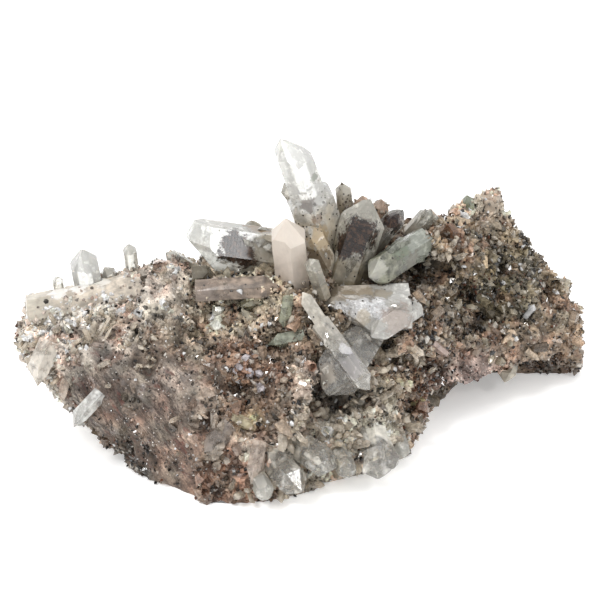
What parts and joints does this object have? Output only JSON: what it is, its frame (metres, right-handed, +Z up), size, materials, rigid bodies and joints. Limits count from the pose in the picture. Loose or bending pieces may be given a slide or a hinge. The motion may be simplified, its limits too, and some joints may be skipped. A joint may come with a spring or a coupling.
{
  "type": "himalayan quartz cluster",
  "caption": "Broken piece of druse-crusted vein rock carrying clear, milky, smoky and green quartz points that lean many ways; rests on a flat cut face.",
  "frame": {"origin": "middle of the cluster's underside, on the flat cut face that it rests on", "axes": "+X along the long crest, to the viewer's right in the picture; +Y away from the viewer; +Z up, off the cut face"},
  "size_m": [0.1418, 0.0942, 0.0743],
  "materials": {
    "vein_rock": "rough",
    "clear_quartz": "polished",
    "milky_quartz": "satin",
    "smoky_quartz": "polished",
    "green_quartz": "satin"
  },
  "bodies": {
    "root": {"rock_matrix": "vein_rock", "tall_clear_point": "clear_quartz", "speckled_point": "milky_quartz", "phantom_point": "smoky_quartz", "shoulder_point": "milky_quartz", "smoky_point": "smoky_quartz", "pale_point": "clear_quartz", "green_point": "green_quartz", "flat_faced_point": "clear_quartz", "grey_point": "milky_quartz", "milky_point": "milky_quartz", "little_clear_point": "clear_quartz", "broad_clear_point": "clear_quartz", "ridge_point": "milky_quartz", "smoky_stub": "smoky_quartz", "tilted_sliver": "clear_quartz", "left_nib": "clear_quartz", "left_broad_point": "clear_quartz", "left_slim_point": "clear_quartz", "left_low_point": "clear_quartz", "slab_crystal": "milky_quartz", "ledge_crystal": "milky_quartz", "underside_point": "clear_quartz", "foot_slab_point": "milky_quartz", "foot_front_point": "milky_quartz", "foot_small_point": "clear_quartz", "foot_clear_point": "clear_quartz", "foot_right_point": "clear_quartz", "foot_chip": "clear_quartz", "rim_nub": "clear_quartz", "rim_low_nub": "green_quartz", "hanging_point": "clear_quartz", "peak_point": "milky_quartz", "green_nib": "green_quartz", "back_left_point": "clear_quartz", "back_middle_point": "milky_quartz", "back_right_point": "clear_quartz", "back_wing_point": "clear_quartz", "back_corner_point": "milky_quartz"}
  },
  "joints": []
}
